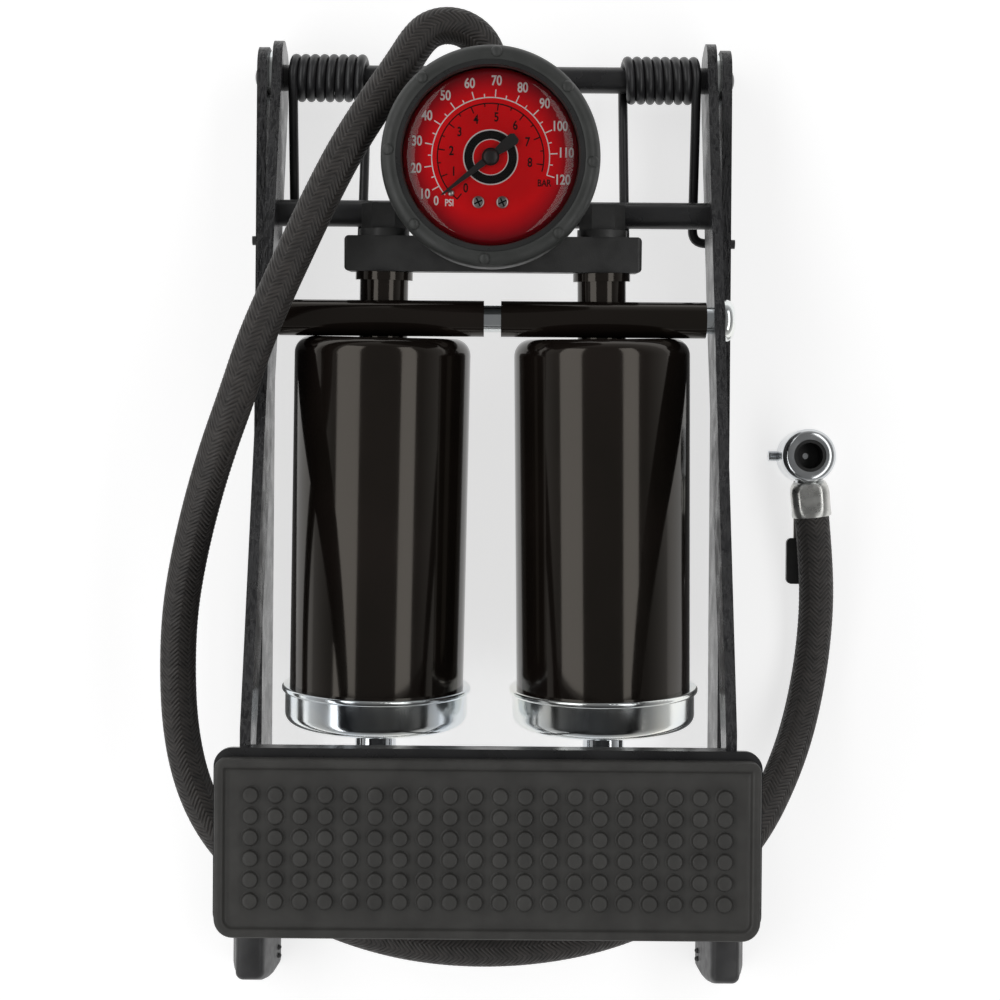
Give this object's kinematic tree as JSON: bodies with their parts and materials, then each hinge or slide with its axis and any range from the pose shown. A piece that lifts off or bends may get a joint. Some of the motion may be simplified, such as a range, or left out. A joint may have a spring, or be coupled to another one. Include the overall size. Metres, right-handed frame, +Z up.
{
  "type": "twin-cylinder foot pump",
  "caption": "Foot pump, folded flat: twin black cylinders in a hinged flat-bar frame under a ribbed pedal, with round pressure gauge and braided hose with thumb-lock chuck.",
  "frame": {"origin": "middle of the folded pump's footprint on the ground, hose left out", "axes": "+X across the pump to its right side, +Y from the pedal towards the hinge, +Z up"},
  "size_m": [0.2061, 0.2933, 0.096],
  "materials": {
    "frame_paint": "glossy black powder coat",
    "spring_paint": "black coated spring wire",
    "barrel_paint": "high-gloss black enamel",
    "zinc_plate": "bright zinc plate",
    "rod_chrome": "hard chrome",
    "tread_rubber": "moulded rubber, satin",
    "foot_rubber": "moulded rubber, satin",
    "boot_rubber": "matte moulded rubber",
    "moulding": "matte black nylon",
    "case_steel": "black enamel",
    "dial_print": "red printed dial",
    "needle_paint": "satin black",
    "lens_clear": "clear moulded lens",
    "screw_steel": "plain steel",
    "brass": "turned brass",
    "guide_nylon": "natural nylon",
    "piston_nylon": "black nylon",
    "seal_rubber": "oiled seal rubber",
    "crimp_aluminium": "bright crimped aluminium",
    "chuck_plate": "bright nickel plate",
    "hose_braid": "woven textile braid over rubber"
  },
  "bodies": {
    "base": {"base_bar_left": "frame_paint", "base_bar_right": "frame_paint", "hinge_rod": "frame_paint", "front_rod": "frame_paint", "hinge_washers": "zinc_plate", "foot_cap_left": "foot_rubber", "foot_cap_right": "foot_rubber", "spring_left": "spring_paint", "spring_right": "spring_paint"},
    "lever": {"lever_bar_left": "frame_paint", "lever_bar_right": "frame_paint", "lever_cross_rod": "frame_paint", "catch_rod": "frame_paint", "pedal_plate": "frame_paint", "tread_pad": "tread_rubber", "pedal_rivets": "zinc_plate", "axle_pin": "zinc_plate", "axle_cap": "zinc_plate", "hose": "hose_braid", "chuck_ferrule": "crimp_aluminium", "chuck_body": "chuck_plate", "chuck_seal": "seal_rubber", "chuck_pin": "chuck_plate"},
    "hook": {"storage_hook": "frame_paint"},
    "cylinders": {"cylinder_left": "barrel_paint", "cylinder_right": "barrel_paint", "cross_tube_left": "barrel_paint", "cross_tube_right": "barrel_paint", "end_cap_left": "zinc_plate", "end_cap_right": "zinc_plate", "rod_guide_left": "guide_nylon", "rod_guide_right": "guide_nylon", "outlet_neck_left": "barrel_paint", "outlet_neck_right": "barrel_paint", "outlet_valves": "seal_rubber", "manifold": "moulding", "hollow_bolt_left": "moulding", "hollow_bolt_right": "moulding", "gauge_case": "case_steel", "gauge_boot": "boot_rubber", "gauge_dial": "dial_print", "dial_screws": "screw_steel", "gauge_lens": "lens_clear", "bourdon_tube": "brass", "gauge_works": "brass", "gauge_stem": "brass", "hose_barb": "brass", "hose_ferrule": "crimp_aluminium"},
    "piston_left": {"piston_rod_left": "rod_chrome", "piston_left": "piston_nylon", "piston_seal_left": "seal_rubber"},
    "piston_right": {"piston_rod_right": "rod_chrome", "piston_right": "piston_nylon", "piston_seal_right": "seal_rubber"},
    "needle": {"gauge_needle": "needle_paint"},
    "thumb_lever": {"chuck_lever": "screw_steel", "chuck_lever_grip": "moulding"}
  },
  "joints": [
    {"name": "lever_fold", "type": "hinge", "parent": "base", "child": "lever", "pos_m": [0, 0.1341, 0.016], "axis": [-1, 0, 0], "range_deg": [0, 36], "deforming": ["spring_left", "spring_right", "hose"]},
    {"name": "cylinder_swing", "type": "hinge", "parent": "lever", "child": "cylinders", "pos_m": [0, 0.0577, 0.0466], "axis": [1, 0, 0], "range_deg": [0, 46.5], "deforming": ["hose"]},
    {"name": "piston_left_stroke", "type": "slide", "parent": "cylinders", "child": "piston_left", "axis": [-0.0157, -0.9971, -0.0748], "range_m": [0, 0.0405]},
    {"name": "piston_right_stroke", "type": "slide", "parent": "cylinders", "child": "piston_right", "axis": [0.0157, -0.9971, -0.0748], "range_m": [0, 0.0405]},
    {"name": "needle_turn", "type": "hinge", "parent": "cylinders", "child": "needle", "pos_m": [-0.0008, 0.10146, 0.06884], "axis": [0, -0.0748, 0.9972], "range_deg": [-235, 0], "stiffness_Nm_per_rad": 0.0002},
    {"name": "thumb_lock", "type": "hinge", "parent": "lever", "child": "thumb_lever", "pos_m": [0.09818, 0.0187, 0.0037], "axis": [1, 0, 0], "range_deg": [0, 90]},
    {"name": "hook_swing", "type": "hinge", "parent": "lever", "child": "hook", "pos_m": [0, -0.1011, 0.0838], "axis": [-1, 0, 0], "range_deg": [-15, 15.89]}
  ],
  "couplings": [
    {"joint": "cylinder_swing", "follows": "lever_fold", "ratio": 1.2703},
    {"joint": "piston_left_stroke", "follows": "lever_fold", "m_per_rad": 0.06363},
    {"joint": "piston_right_stroke", "follows": "lever_fold", "m_per_rad": 0.06363}
  ]
}
